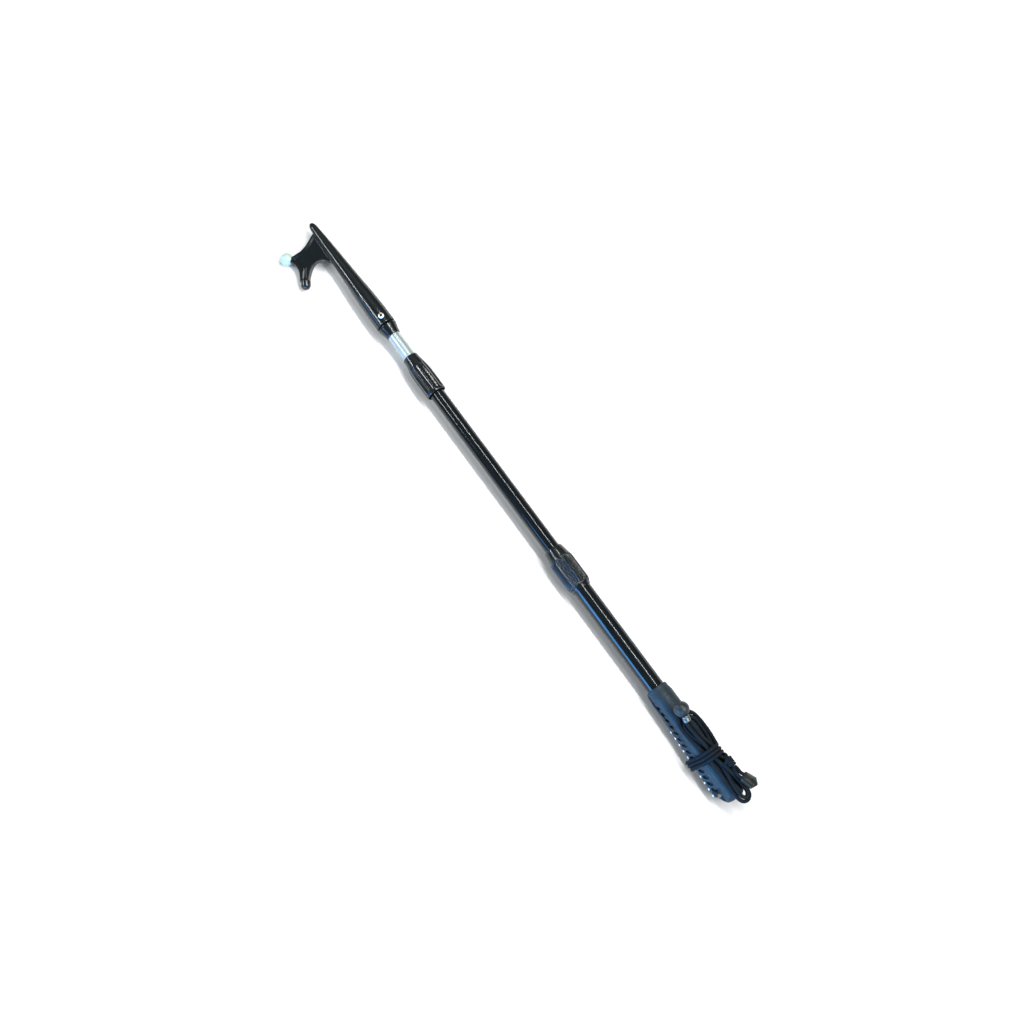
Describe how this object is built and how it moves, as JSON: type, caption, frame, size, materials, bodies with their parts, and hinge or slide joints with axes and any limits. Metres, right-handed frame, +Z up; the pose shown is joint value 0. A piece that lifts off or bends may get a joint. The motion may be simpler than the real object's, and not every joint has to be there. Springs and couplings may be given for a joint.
{
  "type": "boat hook",
  "caption": "Telescopic boat hook: nested tubes with twist-lock collars, a hook head with a ball-ended spur, and a laced grip carrying a coiled lanyard.",
  "frame": {"origin": "on the surface the hook lies on, under the middle of its box without the lanyard; the pole's axis is 29.4 mm to the -Y side and 26.3 mm up", "axes": "+X along the pole towards the hook head, +Y the side the hook points to, +Z up from the surface"},
  "size_m": [1.2075, 0.1171, 0.0783],
  "materials": {
    "anodised_black": "gloss black anodised",
    "aluminium_bare": "bright drawn",
    "collar_black": "moulded, satin gloss",
    "head_black": "moulded glass-filled nylon, satin gloss",
    "ball_white": "smooth, faintly green white",
    "grip_blue": "matte, fine grain",
    "lacing_blue": "waxed thread",
    "cord_blue": "braided polyester",
    "bead_grey": "smooth",
    "collar_grey": "matte",
    "tab_grey": "ribbed, matte",
    "nylon_natural": "natural nylon",
    "plug_black": "moulded",
    "foam": "closed-cell foam",
    "rivet": "bright",
    "steel": "plain"
  },
  "bodies": {
    "handle": {"outer_tube": "anodised_black", "butt_plug": "plug_black", "grip_sleeve": "grip_blue", "grip_lacing": "lacing_blue", "lower_ferrule": "collar_black", "lower_collet": "nylon_natural", "lanyard_hank": "cord_blue", "lanyard_wrap": "cord_blue", "lanyard_bead": "bead_grey", "lanyard_bead_collar": "collar_grey", "lanyard_legs": "cord_blue", "lanyard_knot": "cord_blue", "lanyard_tails": "cord_blue", "lanyard_tab": "tab_grey"},
    "lower_collar": {"lower_collar_nut": "collar_black"},
    "middle_guide": {"middle_guide_ring": "nylon_natural"},
    "middle": {"middle_tube": "anodised_black", "middle_plug": "plug_black", "upper_ferrule": "collar_black", "upper_collet": "nylon_natural"},
    "upper_collar": {"upper_collar_nut": "collar_black"},
    "inner_guide": {"inner_guide_ring": "nylon_natural"},
    "inner": {"inner_tube": "aluminium_bare", "inner_plug": "plug_black", "inner_float": "foam", "head_reducer": "head_black", "head_rivets": "rivet", "hook_head": "head_black", "ball_stud": "steel", "ball_tip": "ball_white"}
  },
  "joints": [
    {"name": "lower_collar_twist", "type": "hinge", "parent": "handle", "child": "lower_collar", "pos_m": [-0.15, -0.02939, 0.0263], "axis": [1, 0, 0], "range_deg": [0, 120]},
    {"name": "middle_slide", "type": "slide", "parent": "handle", "child": "middle_guide", "axis": [1, 0, 0], "range_m": [-0.316, 0.045]},
    {"name": "middle_swivel", "type": "hinge", "parent": "middle_guide", "child": "middle", "pos_m": [0, -0.02939, 0.0263], "axis": [1, 0, 0], "continuous": true},
    {"name": "upper_collar_twist", "type": "hinge", "parent": "middle", "child": "upper_collar", "pos_m": [0.258, -0.02939, 0.0263], "axis": [1, 0, 0], "range_deg": [0, 120]},
    {"name": "inner_slide", "type": "slide", "parent": "middle", "child": "inner_guide", "axis": [1, 0, 0], "range_m": [-0.044, 0.36]},
    {"name": "head_swivel", "type": "hinge", "parent": "inner_guide", "child": "inner", "pos_m": [0.3, -0.02939, 0.0263], "axis": [1, 0, 0], "continuous": true}
  ]
}
